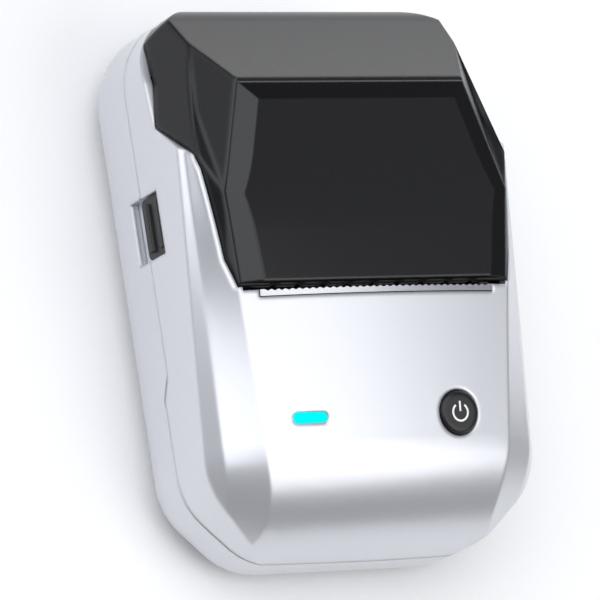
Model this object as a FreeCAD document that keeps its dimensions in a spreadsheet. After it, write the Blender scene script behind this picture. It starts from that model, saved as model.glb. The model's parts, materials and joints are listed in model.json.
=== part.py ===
"""Pocket label printer with a hinged lid, lying on its back.

X runs across the printer, Y towards the hinge end and Z out of the front face.
The origin is on the resting plane, under the middle of the case.
"""
import FreeCAD, Part
import math
import os
import re
from types import SimpleNamespace

import Sketcher

Vector = FreeCAD.Vector
Rotation = FreeCAD.Rotation
Placement = FreeCAD.Placement

doc = FreeCAD.newDocument("LabelPrinter")

# Driving dimensions in millimetres and degrees
SIZES = [
    ("body_width", 80.0, "case, side to side"),
    ("body_length", 118.6, "case, end to end"),
    ("case_height", 60.0, "height that every case profile reaches past"),
    ("bay_reach", 59.3, "from the hinge end to the row that places of the bay are measured from"),
    ("chin_reach", 59.3, "from the chin end to the row that places of the chin are measured from"),
    ("side_reach", 40.0, "from a side to the line that widths are measured from"),
    ("wall", 2.0, "case wall"),
    ("foot_height", 0.8, "rubber foot"),
    ("foot_radius", 4.0, "rubber foot"),
    ("foot_x", 18.0, "foot centre from the middle"),
    ("foot_low_y", -44.0, "feet by the chin"),
    ("foot_high_y", 44.0, "feet by the hinge"),
    ("corner_top", 18.0, "plan radius at the hinge end"),
    ("chin_chamfer", 14.0, "slant across the chin's corners in plan"),
    ("corner_bottom", 16.0, "plan radius at the ends of the slant"),
    ("back_round", 9.0, "round along the back edge"),
    ("chin_round", 25.0, "round of the chin"),
    ("face_y", -33.1, "row of the button and the light"),
    ("slot_face_z", 43.09, "height of the face at the label slot"),
    ("face_slope", 8.7, "slope of the face"),
    ("crown_radius", 310.0, "crown of the face across the case"),
    ("crown_sweep", 24.0, "angle of the crowned form about its axis"),
    ("cheek_low_y", -38.0, "lower station of the cheeks, where they start to bend"),
    ("cheek_high_y", 25.0, "upper station of the cheeks"),
    ("cheek_end_y", -60.3, "end station of the cheeks, just past the chin"),
    ("side_low_z", 29.0, "top of the side wall, lower station"),
    ("side_high_z", 37.1, "top of the side wall, upper station"),
    ("side_end_z", 8.0, "top of the side wall, end station"),
    ("cheek_low_x", 37.2, "crease between the two cheek bands, lower station"),
    ("cheek_low_z", 32.7, "crease between the two cheek bands, lower station"),
    ("cheek_high_x", 38.7, "crease between the two cheek bands, upper station"),
    ("cheek_high_z", 38.0, "crease between the two cheek bands, upper station"),
    ("cheek_end_x", 31.0, "crease between the two cheek bands, end station"),
    ("cheek_end_z", 14.0, "crease between the two cheek bands, end station"),
    ("brow_low_x", 25.8, "inner band carried up past the crown, lower station"),
    ("brow_low_z", 38.9, "inner band carried up past the crown, lower station"),
    ("brow_high_x", 35.2, "inner band carried up past the crown, upper station"),
    ("brow_high_z", 48.5, "inner band carried up past the crown, upper station"),
    ("brow_end_x", 22.0, "inner band carried up past the crown, end station"),
    ("brow_end_z", 25.0, "inner band carried up past the crown, end station"),
    ("cheek_share_x", 0.8, "part of the wall taken from the crease across the case"),
    ("cheek_share_z", 0.7, "part of the wall taken from the height of the crease"),
    ("seam_z", 19.0, "parting line beside the label bay"),
    ("seam_low_z", 16.4, "parting line round the chin"),
    ("jog_top_y", -18.9, "upper end of the jog in the parting line"),
    ("jog_low_y", -23.6, "lower end of the jog in the parting line"),
    ("seam_gap", 0.3, "shadow gap of the parting line"),
    ("lid_gap", 0.35, "gap round the lid"),
    ("lid_wall", 1.8, "lid wall"),
    ("lid_base_z", 15.0, "level that every lid profile reaches below"),
    ("lip_y", -5.3, "lower lip of the lid"),
    ("lip_z", 41.2, "lower lip of the lid"),
    ("crest_y", 14.0, "bend of the lid's top"),
    ("crest_z", 43.9, "bend of the lid's top"),
    ("crest_round", 150.0, "soft bend of the lid's top"),
    ("ridge_y", 38.3, "edge where the end slope starts"),
    ("ridge_z", 44.3, "edge where the end slope starts"),
    ("end_z", 27.1, "end slope carried out to the end of the case"),
    ("end_round", 12.0, "round of the lid's end"),
    ("ledge_z", 39.6, "underside of the lid's lower half"),
    ("mouth_lip_x", 32.6, "lid outline at the lip"),
    ("mouth_mid_y", 0.5, "lid outline, middle"),
    ("mouth_mid_x", 34.4, "lid outline, middle"),
    ("mouth_mid_z", 40.7, "lid outline, middle"),
    ("mouth_top_y", 20.0, "lid outline, upper"),
    ("mouth_top_x", 36.9, "lid outline, upper"),
    ("flank_y", 22.7, "where the lid starts down the side"),
    ("flank_x", 37.45, "where the lid starts down the side"),
    ("flank_z", 40.9, "where the lid starts down the side"),
    ("skirt_y", 32.3, "lid edge on the side of the case"),
    ("skirt_z", 29.8, "lid edge on the side of the case"),
    ("skirt_end_y", 42.1, "lid edge on the side, towards the end"),
    ("skirt_end_z", 28.5, "lid edge on the side, towards the end"),
    ("tail_z", 22.0, "lid edge at the hinge end"),
    ("knee_x", 34.6, "knee of the lid's shoulder"),
    ("knee_y", 35.0, "knee of the lid's shoulder"),
    ("horn_x", 32.6, "shoulder corner by the end slope"),
    ("horn_y", 48.6, "shoulder corner by the end slope"),
    ("horn_z", 35.9, "shoulder corner by the end slope"),
    ("panel_edge", 0.3, "thickness of the panel at its rim"),
    ("panel_rise", 1.4, "rise of the panel's bevel"),
    ("panel_bevel", 4.2, "width of the panel's bevel"),
    ("panel_top_x", 27.5, "panel's upper corner"),
    ("panel_top_y", 37.6, "panel's upper corner"),
    ("panel_wide_x", 34.1, "panel's widest corner"),
    ("panel_wide_y", 14.0, "panel's widest corner"),
    ("panel_low_x", 32.3, "panel's lower corner"),
    ("panel_low_y", -4.9, "panel's lower corner"),
    ("notch_pitch", 6.0, "comb of notches along the lip"),
    ("notch_width", 1.6, "comb of notches along the lip"),
    ("notch_depth", 1.0, "comb of notches along the lip"),
    ("notch_height", 1.5, "comb of notches along the lip"),
    ("hinge_y", 56.2, "hinge axis"),
    ("hinge_z", 22.6, "hinge axis"),
    ("barrel_radius", 3.0, "lid's hinge barrel"),
    ("barrel_half", 22.8, "lid's hinge barrel, half length"),
    ("knuckle_gap", 0.4, "hollow round a hinge knuckle"),
    ("knuckle_width", 9.9, "case knuckles that hold the pin"),
    ("pin_grip", 4.0, "pin inside a case knuckle"),
    ("pin_radius", 1.0, "hinge pin"),
    ("running_gap", 0.05, "radial clearance of a turning fit"),
    ("slide_gap", 0.3, "clearance beside a sliding piece"),
    ("bay_half", 32.0, "bay opening, half width"),
    ("bay_end", 6.0, "bay opening, short of the hinge end"),
    ("slot_half", 28.2, "label slot, half length"),
    ("slot_y", -6.35, "front edge of the label slot"),
    ("tear_bar_depth", 1.35, "tear bar, along the case"),
    ("tear_bar_rise", 0.15, "tear bar above the face"),
    ("tear_pitch", 1.6, "tear bar teeth"),
    ("tear_tooth", 0.35, "tear bar teeth"),
    ("platen_y", -0.3, "platen axis"),
    ("platen_z", 31.4, "platen axis"),
    ("platen_radius", 4.9, "platen roller"),
    ("platen_half", 26.0, "platen roller, half length"),
    ("shaft_radius", 2.0, "platen shaft"),
    ("bush_radius", 2.8, "platen bush"),
    ("hanger_in", 26.8, "lid liner's hangers for the platen"),
    ("hanger_out", 28.8, "lid liner's hangers for the platen"),
    ("hanger_half", 4.2, "lid liner's hangers for the platen"),
    ("liner_half", 31.4, "lid liner"),
    ("liner_plate", 1.2, "lid liner"),
    ("liner_low_y", -4.0, "lid liner"),
    ("liner_high_y", 19.0, "lid liner"),
    ("tongue_low_z", 28.5, "lid liner's catch for the latch"),
    ("tongue_wide", 1.6, "lid liner's catch for the latch"),
    ("lid_screw_x", 20.0, "screws that hold the liner"),
    ("lid_screw_low_y", 8.0, "screws that hold the liner"),
    ("lid_screw_high_y", 15.0, "screws that hold the liner"),
    ("lid_screw_head", 1.7, "screws that hold the liner"),
    ("lid_screw_shank", 0.9, "screws that hold the liner"),
    ("small_head", 1.0, "thickness of a small screw head"),
    ("gear_module", 0.8, "gears"),
    ("gear_in", 29.2, "gear plane, inner face"),
    ("gear_out", 31.4, "gear plane, outer face"),
    ("gear_slack", 0.12, "added to each gear centre distance"),
    ("platen_teeth", 15.0, "gears"),
    ("idler_teeth", 25.0, "gears"),
    ("pinion_teeth", 10.0, "gears"),
    ("idler_angle", -101.0, "direction from the platen axis to the idler axis"),
    ("motor_angle", -160.0, "direction from the idler axis to the motor axis"),
    ("tooth_share", 0.40, "tooth thickness over pitch"),
    ("idler_pin_radius", 1.5, "idler pin"),
    ("motor_radius", 7.5, "stepper motor"),
    ("motor_in", 8.0, "stepper motor, far end"),
    ("motor_shaft_radius", 1.0, "stepper motor"),
    ("shaft_depth", 4.0, "motor shaft inside the motor"),
    ("head_gap", 0.25, "label's room between head and platen"),
    ("head_thick", 1.0, "ceramic of the print head"),
    ("head_half", 27.0, "ceramic of the print head"),
    ("head_low_z", 26.0, "ceramic of the print head"),
    ("head_top_z", 37.0, "ceramic of the print head"),
    ("sink_thick", 2.5, "heat sink behind the print head"),
    ("sink_low_z", 22.0, "heat sink behind the print head"),
    ("sink_top_z", 38.1, "heat sink behind the print head"),
    ("sink_half", 28.0, "heat sink behind the print head"),
    ("frame_in", 32.3, "mechanism frame's side plates"),
    ("frame_plate", 2.0, "mechanism frame's plates"),
    ("frame_low_y", -14.0, "mechanism frame's side plates"),
    ("frame_high_y", 6.0, "mechanism frame's side plates"),
    ("frame_low_z", 4.0, "mechanism frame's side plates"),
    ("frame_top_z", 33.0, "mechanism frame's side plates"),
    ("frame_sole_x", 30.8, "mechanism frame's sole on the flat of the floor"),
    ("wall_top_z", 36.0, "mechanism frame's cross wall"),
    ("sheet_thick", 1.6, "mechanism frame's sole"),
    ("shaft_end", 0.2, "shaft past its gear"),
    ("bridge_plate", 1.4, "mechanism frame's rear bridge"),
    ("bridge_top_z", 24.6, "mechanism frame's rear bridge"),
    ("bracket_in", 27.0, "motor bracket"),
    ("bracket_out", 28.6, "motor bracket"),
    ("bracket_low_y", -25.0, "motor bracket"),
    ("bracket_top_z", 19.0, "motor bracket"),
    ("tray_y", 31.8, "axis of the roll"),
    ("tray_z", 23.9, "axis of the roll"),
    ("tray_radius", 19.8, "roll trough"),
    ("tray_wall", 1.2, "roll trough"),
    ("tray_sole", 8.0, "roll trough's sole, half width"),
    ("tray_half", 27.0, "roll trough, half length inside"),
    ("guide_face", 25.2, "roll guide's inner face from the middle"),
    ("guide_plate", 1.4, "roll guide"),
    ("guide_radius", 14.0, "roll guide's disc"),
    ("hub_radius", 5.8, "roll guide's hub"),
    ("hub_tip", 5.0, "roll guide's hub, at its tip"),
    ("hub_length", 4.0, "roll guide's hub"),
    ("guide_travel", 12.0, "roll guide's travel"),
    ("rack_y", 7.2, "racks of the roll guides"),
    ("rack_thick", 1.4, "racks of the roll guides"),
    ("rack_depth", 1.5, "rack behind its teeth"),
    ("rack_past", 5.0, "rack past the middle"),
    ("guide_pinion_z", 16.5, "pinion between the racks"),
    ("guide_pinion_teeth", 10.0, "pinion between the racks"),
    ("guide_pin_radius", 1.2, "pinion between the racks"),
    ("arm_reach", 3.0, "arm inside the disc's edge"),
    ("arm_low_z", 26.0, "arm over the trough's edge"),
    ("arm_top_z", 28.5, "arm over the trough's edge"),
    ("rail_half", 9.0, "rails that keep the racks in mesh"),
    ("latch_y", 12.8, "latch slider"),
    ("latch_length", 13.0, "latch slider"),
    ("latch_low_z", 18.3, "latch slider"),
    ("latch_top_z", 26.0, "latch slider"),
    ("latch_travel", 3.0, "latch slider"),
    ("latch_skin", 1.2, "latch slider's cap"),
    ("latch_round", 1.4, "corners of the latch slider's cap"),
    ("latch_sink", 0.7, "latch slider's cap behind the side of the case"),
    ("latch_ridge", 0.9, "radius of the two ridges along the cap"),
    ("latch_ridge_in", 2.4, "lower ridge from the cap's edge"),
    ("latch_stem_half", 2.8, "latch slider's stem"),
    ("keeper_half", 4.8, "latch slider's keeper, half length"),
    ("latch_stem_low_z", 20.6, "latch slider's stem"),
    ("latch_stem_top_z", 24.0, "latch slider's stem"),
    ("guide_sheet", 1.5, "latch guide plate"),
    ("guide_margin", 2.0, "latch guide plate past its window"),
    ("keeper", 1.4, "latch slider's keeper behind the guide"),
    ("hook_in", 32.0, "tip of the latch hook"),
    ("spring_radius", 0.75, "latch spring"),
    ("spring_wire", 0.2, "latch spring's wire radius"),
    ("spring_turns", 3.0, "latch spring"),
    ("shelf", 1.0, "shelf under the latch spring"),
    ("button_x", 17.05, "power button"),
    ("button_radius", 4.65, "power button"),
    ("button_rise", 0.25, "power button above the middle of the face"),
    ("button_bevel", 0.6, "bevel round the button"),
    ("button_seat", 3.1, "power button's rim below the middle of the face"),
    ("button_gap", 0.25, "power button in its hole"),
    ("button_travel", 0.6, "power button"),
    ("flange", 1.0, "rim that keeps a button or light in its hole"),
    ("stem_radius", 1.6, "power button's stem"),
    ("light_x", 18.7, "status light, left of the middle"),
    ("light_length", 7.6, "status light"),
    ("light_height", 2.1, "status light"),
    ("light_gap", 0.08, "status light in its hole"),
    ("light_sink", 0.5, "status light below the middle of the face"),
    ("board_depth", 9.0, "main board below the face"),
    ("board_thick", 1.2, "circuit boards"),
    ("board_half_x", 29.0, "main board"),
    ("board_half_y", 13.0, "main board"),
    ("post_x", 26.0, "posts that carry the main board"),
    ("post_y", 10.5, "posts that carry the main board"),
    ("post_radius", 2.2, "posts that carry the main board"),
    ("board_screw_head", 1.8, "main board screws"),
    ("board_screw_shank", 0.9, "main board screws"),
    ("switch_size", 6.0, "tact switch"),
    ("switch_height", 2.6, "tact switch"),
    ("switch_body", 1.8, "tact switch without its plunger"),
    ("plunger_radius", 1.6, "tact switch"),
    ("led_size", 3.2, "status light emitting diode"),
    ("led_height", 1.4, "status light emitting diode"),
    ("radio_x", 12.0, "wireless module"),
    ("radio_y", 16.0, "wireless module"),
    ("radio_height", 2.2, "wireless module"),
    ("battery_left", 22.0, "battery pack, towards the left"),
    ("battery_right", 21.5, "battery pack, towards the right"),
    ("battery_low_y", -48.4, "battery pack"),
    ("battery_high_y", -27.0, "battery pack"),
    ("battery_height", 10.0, "battery pack"),
    ("battery_round", 2.0, "battery pack"),
    ("usb_y", -32.0, "charging socket"),
    ("usb_width", 8.9, "charging socket"),
    ("usb_height", 3.2, "charging socket"),
    ("usb_length", 7.3, "charging socket"),
    ("usb_depth", 5.8, "charging socket's mouth"),
    ("usb_tongue", 6.0, "charging socket's tongue"),
    ("usb_round", 1.05, "charging socket's corners"),
    ("usb_sheet", 0.35, "charging socket's metal"),
    ("usb_gap", 0.15, "charging socket in its window"),
    ("usb_recess", 0.4, "charging socket behind the side wall's face"),
    ("charge_z", 7.2, "charging board"),
    ("charge_in", 26.0, "charging board"),
    ("charge_gap", 0.9, "charging board from the side wall"),
    ("charge_half", 6.5, "charging board"),
    ("charge_post", 2.0, "charging board's post"),
    ("screw_low_x", 26.0, "case screws by the chin"),
    ("screw_low_y", -43.0, "case screws by the chin"),
    ("screw_high_x", 32.2, "case screws by the hinge"),
    ("screw_high_y", 41.0, "case screws by the hinge"),
    ("screw_sink", 1.0, "case screw head below the back"),
    ("screw_shank", 1.25, "case screws"),
    ("screw_head", 2.5, "case screws"),
    ("screw_head_height", 1.6, "case screws"),
    ("screw_bite", 2.6, "case screw's grip in the front shell"),
    ("post_wall", 2.0, "wall round a screw"),
    ("lug", 3.2, "front shell's lugs over the screw posts"),
    ("lug_run", 12.8, "front shell's lugs out to the side wall"),
    ("sensor_width", 6.0, "paper sensor"),
    ("sensor_height", 2.4, "paper sensor"),
]

sheet = doc.addObject("Spreadsheet::Sheet", "Sizes")
for row, (alias, number, note) in enumerate(SIZES, 1):
    sheet.set(f"A{row}", note)
    sheet.set(f"B{row}", str(number))
    sheet.setAlias(f"B{row}", alias)
doc.recompute()
size = SimpleNamespace(**{alias: float(sheet.get(alias)) for alias, number, note in SIZES})

# Places that follow the hinge end, the chin end and the sides of the case
FOLLOWS = {
    "Sizes.body_length / 2 - Sizes.bay_reach": """
        cheek_high_y jog_top_y jog_low_y lip_y crest_y ridge_y mouth_mid_y mouth_top_y flank_y skirt_y
        skirt_end_y knee_y horn_y panel_top_y panel_wide_y panel_low_y hinge_y slot_y platen_y liner_low_y
        liner_high_y lid_screw_low_y lid_screw_high_y frame_low_y frame_high_y bracket_low_y tray_y
        rack_y latch_y screw_high_y foot_high_y""",
    "Sizes.chin_reach - Sizes.body_length / 2": """
        face_y cheek_low_y cheek_end_y battery_low_y battery_high_y usb_y screw_low_y foot_low_y""",
    "Sizes.body_width / 2 - Sizes.side_reach": """
        foot_x cheek_low_x cheek_high_x cheek_end_x brow_low_x brow_high_x brow_end_x mouth_lip_x
        mouth_mid_x mouth_top_x flank_x knee_x horn_x panel_top_x panel_wide_x panel_low_x barrel_half bay_half
        slot_half platen_half hanger_in hanger_out liner_half lid_screw_x gear_in gear_out motor_in
        head_half sink_half frame_in frame_sole_x bracket_in bracket_out tray_half guide_face hook_in
        button_x light_x board_half_x post_x battery_left battery_right charge_in screw_low_x
        screw_high_x""",
}
reaches = (size.body_length / 2 - size.bay_reach, size.chin_reach - size.body_length / 2,
           size.body_width / 2 - size.side_reach)
shift = {}
for start, reach in zip(FOLLOWS, reaches):
    for name in FOLLOWS[start].split():
        shift[name] = start
        setattr(size, name, getattr(size, name) + reach)

SIDES = {"left": -1, "right": 1}
BEND_STEPS = 3
TURN = {"X": Rotation(Vector(0, 1, 0), 90), "Y": Rotation(Vector(1, 0, 0), -90), "Z": Rotation()}
pieces = []


# Document helpers

def cell(name):
    """Cell of a named size, from the end or side that it follows."""
    if name in shift:
        return f"({shift[name]} + Sizes.{name})"
    return f"Sizes.{name}" if hasattr(size, name) else name


def qualified(text):
    """Point every size named in an expression at its cell of the sheet."""
    return re.sub(r"[a-z_]+", lambda word: cell(word[0]), str(text))


def bind(item, prop, text):
    """Tie a property to an expression of the sheet's sizes."""
    item.setExpression(prop, qualified(text))


def piece(item, label):
    """Name a finished sub-part and keep it for writing."""
    item.Label = label
    pieces.append(item)
    return item


def box(label, x, y, z):
    """Box between a low and a high expression on each axis."""
    item = doc.addObject("Part::Box", label)
    for axis, prop, (low, high) in zip("xyz", ("Length", "Width", "Height"), (x, y, z)):
        bind(item, prop, f"({high}) - ({low})")
        bind(item, f"Placement.Base.{axis}", low)
    return item


def rod(label, axis, centre, radius, low, high, tip=None):
    """Cylinder along an axis, or a cone with a tip radius; centre gives its other two coordinates."""
    item = doc.addObject("Part::Cone" if tip else "Part::Cylinder", label)
    item.Placement = Placement(Vector(), TURN[axis])
    bind(item, "Radius1" if tip else "Radius", radius)
    if tip:
        bind(item, "Radius2", tip)
    bind(item, "Height", f"({high}) - ({low})")
    places = dict(zip([name for name in "XYZ" if name != axis], centre))
    places[axis] = low
    for name, text in places.items():
        bind(item, f"Placement.Base.{name.lower()}", text)
    return item


def joined(label, items):
    """Fuse several objects into one."""
    if len(items) == 1:
        return items[0]
    item = doc.addObject("Part::MultiFuse", label)
    item.Shapes = items
    return item


def common(label, items):
    """Keep what several objects share."""
    item = doc.addObject("Part::MultiCommon", label)
    item.Shapes = items
    return item


def cut(label, base, tools):
    """Take tools away from a base."""
    item = doc.addObject("Part::Cut", label)
    item.Base = base
    item.Tool = joined(label + "_tools", tools)
    return item


def group(label, items):
    """Keep identical separate pieces together as one sub-part."""
    item = doc.addObject("Part::Compound", label)
    item.Links = items
    return item


def shaped(label, shape):
    """Object that holds a shape worked out from the sizes."""
    item = doc.addObject("Part::Feature", label)
    item.Shape = shape
    return item


def outline(body, label, plane, corners, offset, axis=()):
    """Closed polygon sketch on an origin plane of a body, tied to the sheet, with an axis if given."""
    sketch = body.newObject("Sketcher::SketchObject", label)
    support = next(feature for feature in body.Origin.OriginFeatures if feature.Role == plane + "_Plane")
    sketch.AttachmentSupport = [(support, "")]
    sketch.MapMode = "FlatFace"
    bind(sketch, "AttachmentOffset.Base.z", offset)
    count = len(corners)
    turn = 2 * math.pi / count
    start = [Vector(math.cos(turn * step), math.sin(turn * step), 0) for step in range(count)]
    for step in range(count):
        sketch.addGeometry(Part.LineSegment(start[step], start[(step + 1) % count]))
    for step in range(count):
        sketch.addConstraint(Sketcher.Constraint("Coincident", step, 2, (step + 1) % count, 1))
    for step, (across, up) in enumerate(corners):
        for kind, text, first in (("DistanceX", across, start[step].x), ("DistanceY", up, start[step].y)):
            index = sketch.addConstraint(Sketcher.Constraint(kind, -1, 1, step, 1, first))
            bind(sketch, f"Constraints[{index}]", text)
    if axis:
        line = sketch.addGeometry(Part.LineSegment(-start[0], start[0]), True)
        for end, (across, up) in enumerate(axis, 1):
            for kind, text in (("DistanceX", across), ("DistanceY", up)):
                index = sketch.addConstraint(Sketcher.Constraint(kind, -1, 1, line, end, 1.0))
                bind(sketch, f"Constraints[{index}]", text)
    return sketch


def prism(label, plane, corners, low, high):
    """Body padded from a polygon on the XY, XZ or YZ plane, from low to high along the third axis."""
    body = doc.addObject("PartDesign::Body", label)
    offset = f"-({high})" if plane == "XZ" else low
    pad = body.newObject("PartDesign::Pad", label + "_pad")
    pad.Profile = outline(body, label + "_outline", plane, corners, offset)
    bind(pad, "Length", f"({high}) - ({low})")
    body.Tip = pad
    return body


def round_edges(body, radius, chosen):
    """Fillet the edges of a body that pass a test."""
    doc.recompute()
    base = body.Tip
    names = [f"Edge{index}" for index, edge in enumerate(base.Shape.Edges, 1) if chosen(edge)]
    fillet = body.newObject("PartDesign::Fillet", body.Name + "_round")
    fillet.Base = (base, names)
    bind(fillet, "Radius", radius)
    body.Tip = fillet
    return body


def upright(edge):
    """Tell whether an edge runs along Z."""
    bounds = edge.BoundBox
    return bounds.XLength < 1e-6 and bounds.YLength < 1e-6


def crosswise(edge):
    """Tell whether an edge runs along X."""
    bounds = edge.BoundBox
    return bounds.YLength < 1e-6 and bounds.ZLength < 1e-6


def rectangle(half_x, half_y):
    """Corners of a rectangle about the origin."""
    return [(f"-({half_x})", f"-({half_y})"), (half_x, f"-({half_y})"), (half_x, half_y),
            (f"-({half_x})", half_y)]


def mirrored(corners):
    """Carry a right-hand run of corners round the left-hand side."""
    return corners + [(f"-({across})", up) for across, up in reversed(corners)]


face_z = "(slot_face_z - tan(face_slope) * (slot_y - face_y))"


def on_face(item):
    """Set an object built about Z = 0 onto the sloping front face."""
    held = group(item.Name + "_on_face", [item])
    held.Placement = Placement(Vector(), Rotation(Vector(1, 0, 0), size.face_slope))
    bind(held, "Placement.Rotation.Angle", "face_slope")
    bind(held, "Placement.Base.y", "face_y")
    bind(held, "Placement.Base.z", face_z)
    return held


# Case form: the plan, the side view with its chin, the faceted cheeks and the crowned face

crown_axis = [(f"face_y + crown_radius * sin(face_slope) + {end} * body_length * cos(face_slope)",
               f"{face_z} - crown_radius * cos(face_slope) + {end} * body_length * sin(face_slope)")
              for end in SIDES.values()]


def face_crown(label, inset):
    """Large cylinder that gives the face its crown across the case."""
    crown = doc.addObject("Part::Cylinder", label)
    crown.Placement = Placement(Vector(), Rotation(Vector(-1, 0, 0), 90 - size.face_slope))
    bind(crown, "Placement.Rotation.Angle", "90 - face_slope")
    bind(crown, "Radius", f"crown_radius - ({inset})")
    bind(crown, "Height", "body_length * 2")
    bind(crown, "Placement.Base.y", crown_axis[0][0])
    bind(crown, "Placement.Base.z", crown_axis[0][1])
    return crown


def case_form(label, inset):
    """Outside of the closed case, or with an inset the hollow inside it."""
    half_x = f"body_width / 2 - {inset}"
    half_y = f"body_length / 2 - {inset}"
    floor = f"foot_height + {inset}"
    slant = f"chin_chamfer - {inset} * (2 - sqrt(2))"
    plan = prism(label + "_plan", "XY", mirrored([
        (f"{half_x} - ({slant})", f"-({half_y})"), (half_x, f"{slant} - ({half_y})"), (half_x, half_y)]),
        floor, "case_height")
    round_edges(plan, f"corner_top - {inset}", lambda edge: upright(edge) and edge.CenterOfMass.y > 0)
    round_edges(plan, f"corner_bottom - {inset}", lambda edge: upright(edge) and edge.CenterOfMass.y < 0)
    round_edges(plan, f"back_round - {inset}",
                lambda edge: edge.BoundBox.ZMax < size.foot_height + size.wall + size.lid_gap)

    face = face_z + " + tan(face_slope) * ({} - face_y) - " + inset
    side = doc.addObject("PartDesign::Body", label + "_side")
    swept = side.newObject("PartDesign::Revolution", label + "_swept")
    swept.Profile = outline(side, label + "_side_view", "YZ", [
        (f"-({half_y})", "0"), (f"-({half_y})", face.format(f"-({half_y})")),
        (f"{half_y} + wall", face.format(f"({half_y} + wall)")), (f"{half_y} + wall", "0")], "0",
        crown_axis)
    swept.ReferenceAxis = (swept.Profile[0], ["Axis0"])
    swept.Midplane = True
    bind(swept, "Angle", "crown_sweep")
    side.Tip = swept
    round_edges(side, f"chin_round - {inset}", lambda edge: edge.BoundBox.XLength > size.body_width
                and edge.CenterOfMass.y < 0 and edge.CenterOfMass.z > size.seam_z)

    cheeks = doc.addObject("PartDesign::Body", label + "_cheeks")

    def section(value, offset):
        """Cross-section of the cheeks, with the values of their creases at its station."""
        return outline(cheeks, f"{label}_section_{len(cheeks.Group)}", "XZ", mirrored([
            (half_x, "0"), (half_x, f"{value('side_{}_z')} - {inset} / 2"),
            (f"{value('cheek_{}_x')} - {inset} * cheek_share_x",
             f"{value('cheek_{}_z')} - {inset} * cheek_share_z"),
            (f"{value('brow_{}_x')} - {inset} / 2", f"{value('brow_{}_z')} - {inset}")]), offset)

    def bent(run):
        """Section at a run of the bend, which leaves the straight cheeks smoothly and ends at the chin."""
        slope = "(cheek_end_y - cheek_low_y) / (cheek_high_y - cheek_low_y)"

        def value(name):
            low, high, end = (name.format(station) for station in ("low", "high", "end"))
            return f"({low} + {run} * (1 - {run}) * ({high} - {low}) * {slope} + {run} ^ 2 * ({end} - {low}))"

        return section(value, f"-cheek_low_y - {run} * (cheek_end_y + {inset} - cheek_low_y)")

    straight = [section(lambda name: name.format("high"), offset)
                for offset in ("-body_length", "-cheek_high_y")] + [bent(0)]
    for name, sections, ruled in (("straight", straight, True),
                                  ("bend", [bent(step / BEND_STEPS) for step in range(BEND_STEPS + 1)],
                                   False)):
        loft = cheeks.newObject("PartDesign::AdditiveLoft", f"{label}_{name}")
        loft.Profile = sections[0]
        loft.Sections = [(item, [""]) for item in sections[1:]]
        loft.Ruled = ruled
    cheeks.Tip = loft
    return common(label, [plan, side, cheeks])


outside = case_form("case_outside", "0")
hollow = case_form("case_hollow", "wall")
half_x = "body_width / 2"
half_y = "body_length / 2"
far = "body_length"


def below_seam(label, gap):
    """Everything on the back shell's side of the parting line."""
    return prism(label, "YZ", [
        (f"-{far}", "-1"), (f"-{far}", f"seam_low_z + {gap}"), ("jog_low_y", f"seam_low_z + {gap}"),
        ("jog_top_y", f"seam_z + {gap}"), (far, f"seam_z + {gap}"), (far, "-1")], f"-{far}", far)


def lid_space(label, gap):
    """Room of the lid: inside its outline on the face, and above its skirt at the sides and end."""
    mouth = prism(label + "_mouth", "XY", mirrored([
        (f"mouth_lip_x + {gap}", f"lip_y - {gap}"), (f"mouth_mid_x + {gap}", "mouth_mid_y"),
        (f"mouth_top_x + {gap}", "mouth_top_y"), (f"flank_x + {gap}", "flank_y"),
        (f"flank_x + {gap}", "skirt_y")]), f"ledge_z - {gap}", "case_height")
    skirt = prism(label + "_skirt", "YZ", [
        (f"flank_y - {gap}", "case_height"), (f"flank_y - {gap}", "flank_z"),
        (f"skirt_y - {gap}", f"skirt_z - {gap}"),
        ("skirt_end_y", f"skirt_end_z - {gap}"), (half_y, f"tail_z - {gap}"), (far, f"tail_z - {gap}"),
        (far, "case_height")], f"-{far}", far)
    return joined(label, [mouth, skirt])


# Back shell: a tray with screw posts, the latch window and the charging window

screw_places = [(f"{side} * screw_{end}_x", f"screw_{end}_y", seam) for side in SIDES.values()
                for end, seam in (("low", "seam_low_z"), ("high", "seam_z"))]
screw_seat = "foot_height + screw_sink + screw_head_height"
floor_z = "foot_height + wall"
latch_window = box(
    "latch_window", (f"-{half_x} - 1", f"wall - {half_x} + slide_gap"),
    ("latch_y - latch_length / 2 - slide_gap", "latch_y + latch_length / 2 + slide_gap"),
    ("latch_low_z - latch_travel - slide_gap", "latch_top_z + slide_gap"))


def back_shell():
    """Rear half of the case."""
    skin = cut("back_skin", common("back_half", [outside, below_seam("back_side", "0")]), [hollow])
    posts = [rod(f"back_post_{number}", "Z", (x, y), "screw_shank + slide_gap + post_wall",
                 "foot_height + 1", seam)
             for number, (x, y, seam) in enumerate(screw_places)]
    posts.append(box("charge_post", ("charge_in", "charge_in + charge_post * 2"),
                     ("usb_y - charge_post", "usb_y + charge_post"), ("foot_height + 1", "charge_z")))
    solid = joined("back_solid", [skin, common("back_posts", [joined("back_post_set", posts), outside])])
    holes = [latch_window]
    for number, (x, y, seam) in enumerate(screw_places):
        holes.append(rod(f"back_bore_{number}", "Z", (x, y), "screw_shank + slide_gap", "0", "case_height"))
        holes.append(rod(f"back_sink_{number}", "Z", (x, y), "screw_head + slide_gap", "0", screw_seat))
    holes.append(box("usb_window", (f"{half_x} - wall - 1", f"{half_x} + 1"),
                     ("usb_y - usb_width / 2 - usb_gap", "usb_y + usb_width / 2 + usb_gap"),
                     ("charge_z + board_thick - usb_gap", "charge_z + board_thick + usb_height + usb_gap")))
    return piece(cut("back_shell_form", solid, holes), "back_shell")


# Front shell: cheeks, face and chin, cut away for the lid, the slot, the button and the light

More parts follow.
